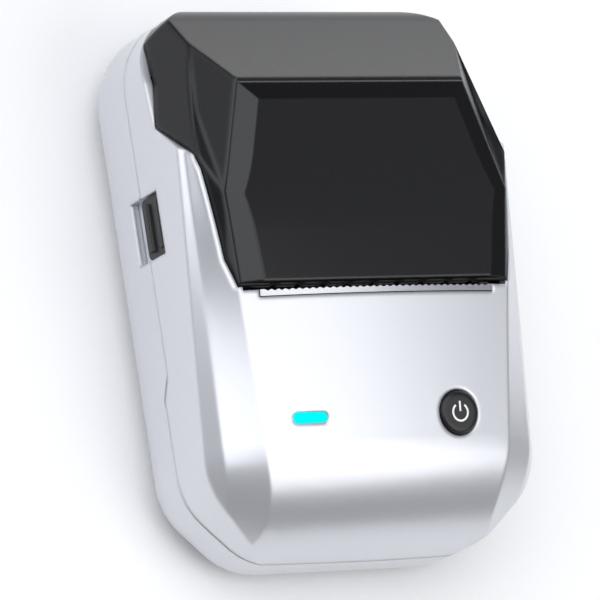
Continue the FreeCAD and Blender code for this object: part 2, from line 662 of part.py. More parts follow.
def stadium(label, x, length, height, low, high):
    """Bar with round ends, along X on the face."""
    run = f"({length} - {height}) / 2"
    parts = [box(label + "_bar", (f"{x} - {run}", f"{x} + {run}"), (f"-({height}) / 2", f"({height}) / 2"),
                 (low, high))]
    for name, sign in SIDES.items():
        parts.append(rod(f"{label}_{name}", "Z", (f"{x} + {sign} * {run}", "0"), f"({height}) / 2", low,
                         high))
    return joined(label, parts)


def hinge_rods(label, radius, low, high):
    """The same cylinder on the hinge axis at both sides."""
    return [rod(f"{label}_right", "X", ("hinge_y", "hinge_z"), radius, low, high),
            rod(f"{label}_left", "X", ("hinge_y", "hinge_z"), radius, f"-({high})", f"-({low})")]


def front_shell():
    """Front half of the case."""
    knuckle_in = "barrel_half + slide_gap"
    knuckle_out = "barrel_half + slide_gap + knuckle_width"
    notch = f"{knuckle_in} + pin_grip + slide_gap"
    skin = cut("front_skin", outside, [
        hollow, below_seam("front_side", "seam_gap"), lid_space("lid_opening", "lid_gap"),
        box("hinge_notch", (f"-({notch})", notch), ("hinge_y - barrel_radius - knuckle_gap", far),
            ("seam_z", "hinge_z + barrel_radius + knuckle_gap")),
        box("bay_mouth", ("-bay_half", "bay_half"), ("slot_y", f"{half_y} - bay_end"),
            ("seam_z + 1", "case_height")),
        box("tear_bar_seat", ("-slot_half - seam_gap / 2", "slot_half + seam_gap / 2"),
            ("slot_y - tear_bar_depth - seam_gap / 2", "slot_y + 1"), ("sink_top_z", "case_height"))])
    added = hinge_rods("knuckle", "barrel_radius", knuckle_in, knuckle_out)
    for name, sign in SIDES.items():
        middle = f"{sign} * ({knuckle_in} + knuckle_width / 2)"
        added.append(box(f"knuckle_web_{name}",
                         (f"{middle} - knuckle_width / 2", f"{middle} + knuckle_width / 2"),
                         ("hinge_y - barrel_radius + knuckle_gap", "hinge_y + knuckle_gap / 2"),
                         ("seam_z + seam_gap", "hinge_z")))
    for number, (x, y, seam) in enumerate(screw_places):
        inner, outer = ("-lug_run", "lug") if x.startswith("-") else ("-lug", "lug_run")
        added.append(box(f"lug_{number}", (f"{x} + {inner}", f"{x} + {outer}"),
                         (f"{y} - lug", f"{y} + lug"),
                         (f"{seam} + seam_gap", f"{seam} + seam_gap + lug")))
    lugs = common("front_added", [joined("front_added_set", added), outside])
    posts = [rod(f"board_post_{sx}_{sy}", "Z", (f"{sx} * post_x", f"{sy} * post_y"), "post_radius",
                 "-board_depth", "-wall") for sx in (-1, 1) for sy in (-1, 1)]
    stand = common("board_stand", [on_face(joined("board_posts", posts)), outside])
    solid = joined("front_solid", [skin, lugs, stand])
    face_holes = [rod("button_hole", "Z", ("button_x", "0"), "button_radius + button_gap", "-wall * 2",
                      "wall"),
                  stadium("light_hole", "-light_x", "light_length + light_gap * 2",
                          "light_height + light_gap * 2",
                          "-wall * 2", "wall")]
    face_holes += [rod(f"post_bore_{sx}_{sy}", "Z", (f"{sx} * post_x", f"{sy} * post_y"),
                       "board_screw_shank",
                       "-board_depth - 1", "-wall * 2") for sx in (-1, 1) for sy in (-1, 1)]
    holes = [on_face(joined("face_holes", face_holes)), latch_window]
    holes += hinge_rods("knuckle_bore", "pin_radius", "0", "barrel_half + slide_gap + pin_grip")
    holes += [rod(f"lug_bore_{number}", "Z", (x, y), "screw_shank", seam, f"{seam} + seam_gap + screw_bite")
              for number, (x, y, seam) in enumerate(screw_places)]
    return piece(cut("front_shell_form", solid, holes), "front_shell")


# Lid: faceted cover with the hinge barrel, and the raised panel

def lid_top(y):
    """Height of the lid's top surface at a place along the case."""
    if y < size.crest_y:
        share = (y - size.lip_y) / (size.crest_y - size.lip_y)
        return size.lip_z + share * (size.crest_z - size.lip_z)
    share = (y - size.crest_y) / (size.ridge_y - size.crest_y)
    return size.crest_z + share * (size.ridge_z - size.crest_z)


def facet(label, corners, inset):
    """Block outside the plane through three corners, moved in by an inset."""
    heart = Vector(0, size.crest_y, size.seam_z)
    normal = (corners[1] - corners[0]).cross(corners[2] - corners[0]).normalize()
    if normal.dot(corners[0] - heart) < 0:
        normal = -normal
    reach = size.body_length
    block = Part.makeBox(2 * reach, 2 * reach, reach, Vector(-reach, -reach, 0))
    block.Placement = Placement(corners[0] - normal * inset, Rotation(Vector(0, 0, 1), normal))
    return shaped(label, block)


def lid_facets(label, inset):
    """Side walls and lower flanks of the lid, and the two facets that meet in each valley."""
    blocks = []
    for name, sign in SIDES.items():
        wide = Vector(sign * size.panel_wide_x, size.panel_wide_y, lid_top(size.panel_wide_y))
        low = Vector(sign * size.panel_low_x, size.panel_low_y, lid_top(size.panel_low_y))
        mouth = Vector(sign * size.mouth_mid_x, size.mouth_mid_y, size.mouth_mid_z)
        flank = Vector(sign * size.flank_x, size.flank_y, size.flank_z)
        skirt = Vector(sign * size.body_width / 2, size.skirt_y, size.skirt_z)
        horn = Vector(sign * size.horn_x, size.horn_y, size.horn_z)
        ridge = Vector(sign * size.panel_top_x, size.ridge_y, size.ridge_z)
        for part, corners in (("wall", [flank, skirt, horn]), ("flank", [wide, low, mouth]),
                              ("elbow", [wide, mouth, flank])):
            blocks.append(facet(f"{label}_{part}_{name}", corners, inset))
        across = (wide - ridge).cross(horn - ridge)
        knee = Vector(sign * size.knee_x, size.knee_y, ridge.z)
        knee.z -= across.dot(knee - ridge) / across.z
        if inset:
            blocks.append(facet(f"{label}_shoulder_{name}", [ridge, wide, horn], inset))
            continue
        for part, corners in (("shoulder", [ridge, wide, knee, horn]), ("valley", [wide, flank, knee]),
                              ("crease", [flank, horn, knee])):
            patch = Part.Face(Part.makePolygon(corners + corners[:1]))
            blocks.append(shaped(f"{label}_{part}_{name}", patch.extrude(Vector(0, 0, size.case_height))))
    return blocks


def lid_profile(label, inset):
    """Side view of the lid padded across the case."""
    body = prism(label, "YZ", [
        (f"lip_y + {inset}", "lid_base_z"), (f"lip_y + {inset}", f"lip_z - {inset}"),
        ("crest_y", f"crest_z - {inset}"),
        (f"ridge_y - {inset} / 2", f"ridge_z - {inset}"), (f"{half_y} - {inset}", f"end_z - {inset} / 2"),
        (f"{half_y} - {inset}", "lid_base_z")], f"-{half_x}", half_x)
    middle = (size.crest_y + size.ridge_y) / 2
    round_edges(body, "crest_round", lambda edge: crosswise(edge) and edge.CenterOfMass.z > size.ledge_z
                and size.lip_y + size.lid_wall < edge.CenterOfMass.y < middle)
    return round_edges(body, f"end_round - {inset}", lambda edge: crosswise(edge)
                       and edge.CenterOfMass.y > size.ridge_y + size.lid_wall and edge.CenterOfMass.z > size.tail_z)


def lid_form(label, inset):
    """Outside of the lid, or with an inset the hollow inside it."""
    plan = prism(label + "_plan", "XY",
                 rectangle(f"body_width / 2 - {inset}", f"body_length / 2 - {inset}"),
                 "lid_base_z", "case_height")
    round_edges(plan, f"corner_top - {inset}", lambda edge: upright(edge) and edge.CenterOfMass.y > 0)
    block = common(label + "_block", [plan, lid_profile(label + "_profile", inset)])
    return cut(label, block, lid_facets(label, size.lid_wall if inset == "lid_wall" else 0))


lid_screw_places = [(f"{side} * lid_screw_x", y) for side in SIDES.values()
                    for y in ("lid_screw_low_y", "lid_screw_high_y")]


def lid_shell():
    """Hinged cover over the label bay."""
    cover = common("lid_cover",
                   [cut("lid_skin", lid_form("lid_outside", "0"), [lid_form("lid_hollow", "lid_wall")]),
                                 lid_space("lid_room", "0")])
    added = [cover,
             rod("lid_barrel", "X", ("hinge_y", "hinge_z"), "barrel_radius", "-barrel_half", "barrel_half")]
    bosses = [rod(f"lid_boss_{number}", "Z", place, "lid_screw_shank + post_wall", "ledge_z",
                  "crest_z - lid_wall / 2")
              for number, place in enumerate(lid_screw_places)]
    added.append(common("lid_bosses", [joined("lid_boss_set", bosses), lid_form("lid_boss_limit", "0")]))
    holes = [rod("lid_pin_bore", "X", ("hinge_y", "hinge_z"), "pin_radius + running_gap", f"-{half_x}",
                 half_x)]
    holes += hinge_rods("lid_knuckle_room", "barrel_radius + knuckle_gap", "barrel_half",
                        "barrel_half + knuckle_width + slide_gap * 2")
    holes += [rod(f"lid_boss_bore_{number}", "Z", place, "lid_screw_shank", "ledge_z", "ledge_z + lid_wall")
              for number, place in enumerate(lid_screw_places)]
    count = int(size.slot_half / size.notch_pitch)
    for number in range(-count, count + 1):
        holes.append(box(f"lip_notch_{number + count}",
                         (f"{number} * notch_pitch - notch_width / 2",
                          f"{number} * notch_pitch + notch_width / 2"),
                         ("lip_y - 1", "lip_y + notch_depth"), ("ledge_z - 1", "ledge_z + notch_height")))
    return piece(cut("lid_shell_form", joined("lid_solid", added), holes), "lid_shell")


def lid_panel():
    """Raised six-sided panel with a shallow bevel along its rim."""
    plate = prism("panel_plate", "XY", mirrored([
        ("panel_low_x", "panel_low_y"), ("panel_wide_x", "panel_wide_y"), ("panel_top_x", "panel_top_y")]),
        "ledge_z", "case_height")
    crown = lid_profile("panel_crown", "-(panel_edge + panel_rise)")
    blocks = []
    rim = [(size.panel_low_x, size.panel_low_y), (size.panel_wide_x, size.panel_wide_y),
           (size.panel_top_x, size.panel_top_y)]
    edges = [(rim[0], rim[1]), (rim[1], rim[2])]
    edges += [((-x1, y1), (-x2, y2)) for (x1, y1), (x2, y2) in edges] + [(rim[2], (-rim[2][0], rim[2][1]))]
    for number, ((x1, y1), (x2, y2)) in enumerate(edges):
        start = Vector(x1, y1, lid_top(y1) + size.panel_edge)
        end = Vector(x2, y2, lid_top(y2) + size.panel_edge)
        along = (end - start).normalize()
        inward = along.cross(Vector(0, 0, 1)).normalize()
        if inward.dot(Vector(0, size.crest_y, 0) - start) < 0:
            inward = -inward
        inner = start + inward * size.panel_bevel
        inner.z = lid_top(inner.y) + size.panel_edge + size.panel_rise
        blocks.append(facet(f"panel_bevel_{number}", [start, end, inner], 0))
    top = common("panel_block", [plate, crown])
    return piece(cut("lid_panel_form", top, blocks + [lid_form("panel_seat", "0")]), "lid_panel")


def hinge_pin():
    """Steel pin through the lid's barrel, held in the case ears."""
    end = "barrel_half + slide_gap + pin_grip"
    return piece(rod("hinge_pin_form", "X", ("hinge_y", "hinge_z"), "pin_radius", f"-({end})", end),
                 "hinge_pin")


# Lid's underside: the liner that carries the platen roller in two bushes

def lid_liner():
    """Carrier screwed under the lid, with hangers for the platen and a catch for the latch."""
    low = "ledge_z - liner_plate"
    parts = [box("liner_sheet", ("-liner_half", "liner_half"), ("liner_low_y", "liner_high_y"),
                 (low, "ledge_z"))]
    holes = [rod("liner_bush_bore", "X", platen_axis, "bush_radius", f"-{half_x}", half_x)]
    for name, sign in SIDES.items():
        middle = f"{sign} * (hanger_in + hanger_out) / 2"
        x = (f"{middle} - (hanger_out - hanger_in) / 2", f"{middle} + (hanger_out - hanger_in) / 2")
        parts.append(box(f"hanger_{name}", x, ("platen_y - hanger_half", "platen_y + hanger_half"),
                         ("platen_z", low)))
        parts.append(rod(f"hanger_eye_{name}", "X", platen_axis, "hanger_half", *x))
    parts.append(box("liner_tongue", ("-liner_half", "tongue_wide - liner_half"),
                     ("latch_y - latch_stem_half", "latch_y + latch_stem_half"), ("tongue_low_z", low)))
    holes += [rod(f"liner_bore_{number}", "Z", place, "lid_screw_shank + running_gap", "platen_z",
                  "case_height")
              for number, place in enumerate(lid_screw_places)]
    return piece(cut("lid_liner_form", joined("liner_solid", parts), holes), "lid_liner")


def screw(label, place, head, shank, under, head_height, reach):
    """Cap screw entering along +Z with its head below the level it clamps."""
    return joined(label, [rod(label + "_head", "Z", place, head, f"{under} - {head_height}", under),
                          rod(label + "_shank", "Z", place, shank, under, f"{under} + {reach}")])


def lid_screws():
    """Screws that hold the liner under the lid."""
    return piece(group("lid_screw_set", [
        screw(f"lid_screw_{number}", place, "lid_screw_head", "lid_screw_shank", "ledge_z - liner_plate",
              "small_head",
              "liner_plate + lid_wall - running_gap") for number, place in enumerate(lid_screw_places)]),
              "lid_screws")


def platen_bushes():
    """Bearing bushes of the platen."""
    rings = []
    for name, sign in SIDES.items():
        middle = f"{sign} * (hanger_in + hanger_out) / 2"
        ends = (f"{middle} - (hanger_out - hanger_in) / 2", f"{middle} + (hanger_out - hanger_in) / 2")
        rings.append(cut(f"bush_{name}", rod(f"bush_{name}_body", "X", platen_axis, "bush_radius", *ends),
                         [rod(f"bush_{name}_bore", "X", platen_axis, "shaft_radius + running_gap", *ends)]))
    return piece(group("bush_set", rings), "platen_bushes")


def platen_roller():
    """Rubber roller that drives the label past the print head."""
    ends = ("-platen_half", "platen_half")
    return piece(cut("platen_roller_form", rod("platen_body", "X", platen_axis, "platen_radius", *ends),
                     [rod("platen_core", "X", platen_axis, "shaft_radius", *ends)]), "platen_roller")


def platen_shaft():
    """Steel core of the platen."""
    return piece(rod("platen_shaft_form", "X", platen_axis, "shaft_radius", "-hanger_out - shaft_end",
                     "gear_out + shaft_end"), "platen_shaft")


# Gear train from the motor to the platen

FLANK = math.tan(math.radians(20))
TIP_SHARE = 0.9
ROOT_SHARE = 1.25


def tooth_half(depth):
    """Half thickness of a tooth at a depth below the pitch line."""
    return size.tooth_share * math.pi * size.gear_module / 2 + depth * FLANK


def axis_point(axis, run, across, up):
    """Point from its place along an axis and its place in the plane across it."""
    return Vector(run, across, up) if axis == "X" else Vector(across, run, up)


def gear(label, axis, centre, teeth, phase, bore, low, high):
    """Straight-toothed wheel with the middle of one tooth at the phase angle."""
    pitch_radius = size.gear_module * teeth / 2
    root = -ROOT_SHARE * size.gear_module
    tip = TIP_SHARE * size.gear_module
    points = []
    for tooth in range(int(teeth)):
        middle = math.radians(phase) + 2 * math.pi * tooth / teeth
        for rise, side in ((root, -1), (tip, -1), (tip, 1), (root, 1)):
            radius = pitch_radius + rise
            angle = middle + side * tooth_half(-rise) / radius
            points.append(axis_point(axis, low, centre[0] + radius * math.cos(angle),
                                     centre[1] + radius * math.sin(angle)))
    wheel = Part.Face(Part.makePolygon(points + points[:1])).extrude(axis_point(axis, high - low, 0, 0))
    hole = Part.makeCylinder(bore, high - low, axis_point(axis, low, *centre), axis_point(axis, 1, 0, 0))
    return shaped(label, wheel.cut(hole))


def meshed(phase, teeth, direction, mate):
    """Phase of a mating wheel that lies in a direction from a wheel of known phase."""
    past = (phase - direction) % (360 / teeth)
    return direction + 180 - past * teeth / mate + 180 / mate


def beside(centre, first, second, direction):
    """Centre of the next wheel of the train."""
    reach = size.gear_module * (first + second) / 2 + size.gear_slack
    turn = math.radians(direction)
    return (centre[0] + reach * math.cos(turn), centre[1] + reach * math.sin(turn))


platen_axis = ("platen_y", "platen_z")
platen_reach = "(gear_module * (platen_teeth + idler_teeth) / 2 + gear_slack)"
motor_reach = "(gear_module * (idler_teeth + pinion_teeth) / 2 + gear_slack)"
idler_axis = (f"platen_y + {platen_reach} * cos(idler_angle)",
              f"platen_z + {platen_reach} * sin(idler_angle)")
motor_axis = (f"{idler_axis[0]} + {motor_reach} * cos(motor_angle)",
              f"{idler_axis[1]} + {motor_reach} * sin(motor_angle)")


def gear_train():
    """Platen gear, idler and motor pinion in one plane, phased to mesh."""
    platen_at = (size.platen_y, size.platen_z)
    idler_at = beside(platen_at, size.platen_teeth, size.idler_teeth, size.idler_angle)
    motor_at = beside(idler_at, size.idler_teeth, size.pinion_teeth, size.motor_angle)
    idler_phase = meshed(size.idler_angle, size.platen_teeth, size.idler_angle, size.idler_teeth)
    pinion_phase = meshed(idler_phase, size.idler_teeth, size.motor_angle, size.pinion_teeth)
    ends = (size.gear_in, size.gear_out)
    piece(gear("platen_gear_form", "X", platen_at, size.platen_teeth, size.idler_angle, size.shaft_radius,
               *ends),
          "platen_gear")
    piece(gear("idler_gear_form", "X", idler_at, size.idler_teeth, idler_phase,
               size.idler_pin_radius + size.running_gap, *ends), "idler_gear")
    piece(gear("motor_pinion_form", "X", motor_at, size.pinion_teeth, pinion_phase, size.motor_shaft_radius,
               *ends),
          "motor_pinion")


def idler_pin():
    """Fixed pin of the idler, pressed into the frame's side plate."""
    return piece(rod("idler_pin_form", "X", idler_axis, "idler_pin_radius", "hanger_out",
                     "frame_in + frame_plate"),
                 "idler_pin")


def stepper_motor():
    """Can of the motor."""
    can = rod("motor_can", "X", motor_axis, "motor_radius", "motor_in", "bracket_in")
    bore = rod("motor_bore", "X", motor_axis, "motor_shaft_radius + running_gap",
               "bracket_in - shaft_depth - slide_gap", "bracket_in")
    return piece(cut("stepper_motor_form", can, [bore]), "stepper_motor")


def motor_shaft():
    """Shaft that carries the motor pinion."""
    return piece(rod("motor_shaft_form", "X", motor_axis, "motor_shaft_radius", "bracket_in - shaft_depth",
                     "gear_out + shaft_end"), "motor_shaft")


# Printing mechanism

def mechanism_frame():
    """Frame with side plates, a cross wall, a motor bracket and a bridge for the roll guides."""
    wall_back = "slot_y - sink_thick"
    wall_y = (f"{wall_back} - frame_plate", wall_back)
    bridge_y = ("frame_high_y - bridge_plate", "frame_high_y")
    rail_y = ("frame_high_y", "rack_y + rack_thick")
    across = ("-frame_in", "bracket_out")
    edge = "frame_in + frame_plate"
    parts = [
        box("frame_sole", ("-frame_sole_x", "frame_sole_x"), (wall_y[0], bridge_y[1]),
            (floor_z, f"{floor_z} + sheet_thick")),
        box("frame_web", (f"-({edge})", edge), (wall_y[0], bridge_y[1]),
            ("frame_low_z", f"{floor_z} + sheet_thick")),
        box("frame_left", (f"-({edge})", "-frame_in"), ("frame_low_y", "frame_high_y"),
            ("frame_low_z", "frame_top_z")),
        box("frame_right", ("frame_in", edge), ("frame_low_y", "frame_high_y"),
            ("frame_low_z", "frame_top_z")),
        box("frame_wall", across, wall_y, ("frame_low_z", "wall_top_z")),
        box("frame_bracket", ("bracket_in", "bracket_out"), ("bracket_low_y", wall_y[1]),
            (floor_z, "bracket_top_z")),
        box("frame_bridge", across, bridge_y, ("frame_low_z", "bridge_top_z")),
        box("frame_rail_top", ("-rail_half", "rail_half"), rail_y,
            (f"{rack_back} + slide_gap", "bridge_top_z")),
        box("frame_rail_low", ("-rail_half", "rail_half"), rail_y,
            (f"{rack_foot} - slide_gap - bridge_plate", f"{rack_foot} - slide_gap")),
        rod("guide_pin", "Y", ("0", "guide_pinion_z"), "guide_pin_radius", "frame_high_y - bridge_plate",
            "rack_y + rack_thick + slide_gap")]
    holes = [rod("frame_motor_room", "X", motor_axis, "motor_radius + slide_gap", "motor_in - slide_gap",
                 "bracket_in"),
             rod("frame_shaft_hole", "X", motor_axis, "motor_shaft_radius + slide_gap", "bracket_in",
                 "bracket_out"),
             rod("frame_pin_hole", "X", idler_axis, "idler_pin_radius", "frame_in", edge)]
    return piece(cut("mechanism_frame_form", joined("frame_solid", parts), holes), "mechanism_frame")


head_y = "platen_y - platen_radius - head_gap"


def print_head():
    """Ceramic strip with the heating line, facing the platen."""
    return piece(box("print_head_form", ("-head_half", "head_half"), (f"{head_y} - head_thick", head_y),
                     ("head_low_z", "head_top_z")), "print_head")


def head_heatsink():
    """Aluminium plate behind the print head."""
    return piece(box("head_heatsink_form", ("-sink_half", "sink_half"),
                     ("slot_y - sink_thick", f"{head_y} - head_thick"),
                     ("sink_low_z", "sink_top_z")), "head_heatsink")


def tear_bar():
    """Bright strip along the label slot, crowned like the face, with a fine saw edge on the slot's side."""
    bar = common("tear_bar_body", [
        box("tear_bar_block", ("-slot_half", "slot_half"), ("slot_y - tear_bar_depth", "slot_y"),
            ("sink_top_z", "case_height")), face_crown("tear_bar_crown", "-tear_bar_rise")])
    count = int(size.slot_half / size.tear_pitch)
    points = []
    for tooth in range(-count, count):
        points.append(Vector(tooth * size.tear_pitch, 0, 0))
        points.append(Vector((tooth + 0.5) * size.tear_pitch, -size.tear_tooth, 0))
    points.append(Vector(count * size.tear_pitch, 0, 0))
    points.append(Vector(count * size.tear_pitch, size.tear_tooth, 0))
    points.append(Vector(-count * size.tear_pitch, size.tear_tooth, 0))
    comb = Part.Face(Part.makePolygon(points + points[:1])).extrude(Vector(0, 0, size.case_height))
    saw = shaped("tear_saw", comb)
    saw.Placement = Placement(Vector(0, size.slot_y, size.sink_top_z), Rotation())
    bind(saw, "Placement.Base.y", "slot_y")
    return piece(cut("tear_bar_form", bar, [saw]), "tear_bar")


def paper_sensor():
    """Label gap sensor on the bridge."""
    return piece(box("paper_sensor_form", ("-sensor_width / 2", "sensor_width / 2"),
                     ("frame_high_y - sensor_height", "frame_high_y"),
                     ("bridge_top_z", "bridge_top_z + sensor_height")), "paper_sensor")


# Label bay: the trough and the two roll guides on their racks

rack_reach = "(gear_module * guide_pinion_teeth / 2 + gear_slack)"
rack_root = f"({rack_reach} + {ROOT_SHARE} * gear_module)"
rack_back = f"guide_pinion_z + {rack_root} + rack_depth"
rack_foot = f"guide_pinion_z - {rack_root} - rack_depth"


def roll_tray():
    """Trough under the label roll, closed at both ends."""
    ends = ("-tray_half - tray_wall", "tray_half + tray_wall")
    drum = common("tray_drum", [
        rod("tray_outer", "X", ("tray_y", "tray_z"), "tray_radius + tray_wall", *ends),
        box("tray_lower_half", ends, ("0", half_y), ("0", "tray_z"))])
    sole = box("tray_sole_block", ends, ("tray_y - tray_sole", "tray_y + tray_sole"),
               (floor_z, "tray_z - tray_radius + tray_wall"))
    room = rod("tray_inner", "X", ("tray_y", "tray_z"), "tray_radius", "-tray_half", "tray_half")
    return piece(cut("roll_tray_form", joined("tray_solid", [drum, sole]), [room]), "roll_tray")


def rack(label, side):
    """Toothed bar of a roll guide: above the pinion for the left guide, below it for the right."""
    lift = -side
    reach = size.gear_module * size.guide_pinion_teeth / 2 + size.gear_slack
    tip = reach - TIP_SHARE * size.gear_module
    root = reach + ROOT_SHARE * size.gear_module
    pitch = math.pi * size.gear_module
    profile = [(size.guide_face, root + size.rack_depth), (size.guide_face, root)]
    first = int((size.guide_face - pitch / 2) / pitch)
    last = -int((size.rack_past - pitch / 4) / pitch)
    for tooth in range(first, last - 1, -1):
        profile += [(tooth * pitch + tooth_half(root - reach), root),
                    (tooth * pitch + tooth_half(tip - reach), tip),
                    (tooth * pitch - tooth_half(tip - reach), tip),
                    (tooth * pitch - tooth_half(root - reach), root)]
    profile += [(-size.rack_past, root), (-size.rack_past, root + size.rack_depth)]
    points = [Vector(side * across, size.rack_y, size.guide_pinion_z + lift * rise) for across,
              rise in profile]
    return shaped(label,
                  Part.Face(Part.makePolygon(points + points[:1])).extrude(Vector(0, size.rack_thick, 0)))


def roll_guide(name):
    """Sliding disc that centres the label roll, with its hub, arm and rack."""
    sign = SIDES[name]
    middle = f"{sign} * (guide_face + guide_plate / 2)"
    x = (f"{middle} - guide_plate / 2", f"{middle} + guide_plate / 2")
    centre = ("tray_y", "tray_z")
    disc_y = "tray_y - guide_radius + arm_reach"
    parts = [rod(f"{name}_disc", "X", centre, "guide_radius", *x), rack(f"{name}_rack", sign)]
    hub = rod(f"{name}_hub", "Z", centre, "hub_radius", "0", "hub_length", tip="hub_tip")
    hub.Placement = Placement(Vector(), Rotation(Vector(0, -sign, 0), 90))
    bind(hub, "Placement.Base.x", f"{sign} * guide_face")
    bind(hub, "Placement.Base.y", "tray_y")
    bind(hub, "Placement.Base.z", "tray_z")
    parts.append(hub)
    if name == "left":
        y = ("rack_y", "rack_y + rack_thick")
        parts.append(box("left_arm", x, y, (f"{rack_back} - rack_depth", "arm_top_z")))
    else:
        y = ("rack_y + rack_thick + slide_gap", "rack_y + rack_thick * 2 + slide_gap")
        parts.append(box("right_arm", x, y, (rack_foot, "arm_top_z")))
        parts.append(box("right_step", x, ("rack_y", y[1]), (rack_foot, f"{rack_foot} + rack_depth")))
    parts.append(box(f"{name}_bar", x, (y[0], disc_y), ("arm_low_z", "arm_top_z")))
    return piece(joined(f"{name}_guide_form", parts), f"{name}_roll_guide")


def guide_pinion():
    """Pinion that makes both roll guides move together."""
    return piece(gear("guide_pinion_form", "Y", (0, size.guide_pinion_z), size.guide_pinion_teeth,
                      90 + 180 / size.guide_pinion_teeth, size.guide_pin_radius + size.running_gap,
                      size.rack_y, size.rack_y + size.rack_thick), "guide_pinion")


# Latch on the left side

latch_span = ("latch_y - latch_length / 2", "latch_y + latch_length / 2")
stem_span = ("latch_y - latch_stem_half", "latch_y + latch_stem_half")
guide_x = (f"wall - {half_x}", f"wall - {half_x} + guide_sheet")
keeper_x = (f"{guide_x[1]} + slide_gap", f"{guide_x[1]} + slide_gap + keeper")
keeper_low = "latch_low_z + slide_gap"
shelf_top = "latch_low_z - latch_travel - wall"


def latch_slider():
    """Thumb slider with two ridges, a stem through the guide plate, a keeper and a hook."""
    face = f"latch_sink - {half_x}"
    cap = prism("latch_cap", "YZ", [
        (latch_span[0], "latch_low_z"), (latch_span[1], "latch_low_z"), (latch_span[1], "latch_top_z"),
        (latch_span[0], "latch_top_z")], face, f"{face} + latch_skin")
    round_edges(cap, "latch_round", lambda edge: edge.BoundBox.XLength > size.latch_skin / 2)
    inner_span = (f"{latch_span[0]} + latch_round", f"{latch_span[1]} - latch_round")
    ridges = [rod(f"latch_ridge_{name}", "Y", (face, height), "latch_ridge", *inner_span)
              for name,
              height in (("low", "latch_low_z + latch_ridge_in"), ("top", "latch_top_z - latch_ridge"))]
    outer = box("latch_reach", (f"-{half_x}", "0"), (f"-{far}", far), ("0", "case_height"))
    parts = [cap, common("latch_ridges", [joined("latch_ridge_set", ridges), outer]),
             box("latch_stem", (face, keeper_x[1]), stem_span, ("latch_stem_low_z", "latch_stem_top_z")),
             box("latch_keeper", keeper_x, ("latch_y - keeper_half", "latch_y + keeper_half"),
                 (keeper_low, "latch_top_z")),
             box("latch_hook", (keeper_x[0], "-hook_in"), stem_span,
                 ("latch_top_z - keeper", "latch_top_z"))]
    return piece(joined("latch_slider_form", parts), "latch_slider")


def latch_guide():
    """Pale plate behind the latch window, with the slot and the spring's shelf."""
    plate = box("guide_plate_body", guide_x,
                (f"{latch_span[0]} - guide_margin", f"{latch_span[1]} + guide_margin"),
                (f"{shelf_top} - shelf", "latch_top_z + guide_margin"))
    ledge = box("guide_shelf", (guide_x[0], f"{keeper_x[1]} + slide_gap"), stem_span,
                (f"{shelf_top} - shelf", shelf_top))
    slot = box("guide_slot", (f"{guide_x[0]} - 1", guide_x[1]),
               (f"{stem_span[0]} - slide_gap", f"{stem_span[1]} + slide_gap"),
               ("latch_stem_low_z - latch_travel - slide_gap", "latch_stem_top_z + slide_gap"))
    return piece(cut("latch_guide_form", joined("guide_solid", [plate, ledge]), [slot]), "latch_guide")


def latch_spring():
    """Return spring between the shelf and the keeper."""
    low = size.latch_low_z - size.latch_travel - size.wall
    high = size.latch_low_z + size.slide_gap
    rise = high - low - 2 * size.spring_wire
    helix = Part.makeHelix(rise / size.spring_turns, rise, size.spring_radius)
    ring = Part.Wire(Part.makeCircle(size.spring_wire, Vector(size.spring_radius, 0, 0), Vector(0, 1, 0)))
    coil = Part.Wire(helix.Edges).makePipeShell([ring], True, True)
    item = shaped("latch_spring_form", coil)
    x = size.wall - size.body_width / 2 + size.guide_sheet + size.slide_gap + size.keeper / 2
    item.Placement = Placement(Vector(x, size.latch_y, low + size.spring_wire), Rotation())
    return piece(item, "latch_spring")


# Face parts and electronics, built about the middle of the sloping face

def power_button():
    """Round button with a rim below the face and a stem above the switch."""
    seat = "-button_seat"
    parts = [rod("button_cap", "Z", ("button_x", "0"), "button_radius", f"{seat} - flange",
                 "button_rise - button_bevel"),
             rod("button_edge", "Z", ("button_x", "0"), "button_radius", "button_rise - button_bevel",
                 "button_rise",
                 tip="button_radius - button_bevel"),
             rod("button_rim", "Z", ("button_x", "0"), "button_radius + flange", f"{seat} - flange", seat),
             rod("button_stem", "Z", ("button_x", "0"), "stem_radius",
                 "-board_depth + switch_height + button_travel + running_gap", seat)]
    return piece(on_face(joined("power_button_form", parts)), "power_button")


def status_light_pipe():
    """Clear bar that carries the light to the face."""
    foot = "-board_depth + led_height + running_gap"
    parts = [stadium("light_bar", "-light_x", "light_length", "light_height", foot, "-light_sink"),
             stadium("light_rim", "-light_x", "light_length + flange", "light_height + flange",
                     "-button_seat - flange", "-button_seat")]
    return piece(on_face(joined("status_light_form", parts)), "status_light_pipe")


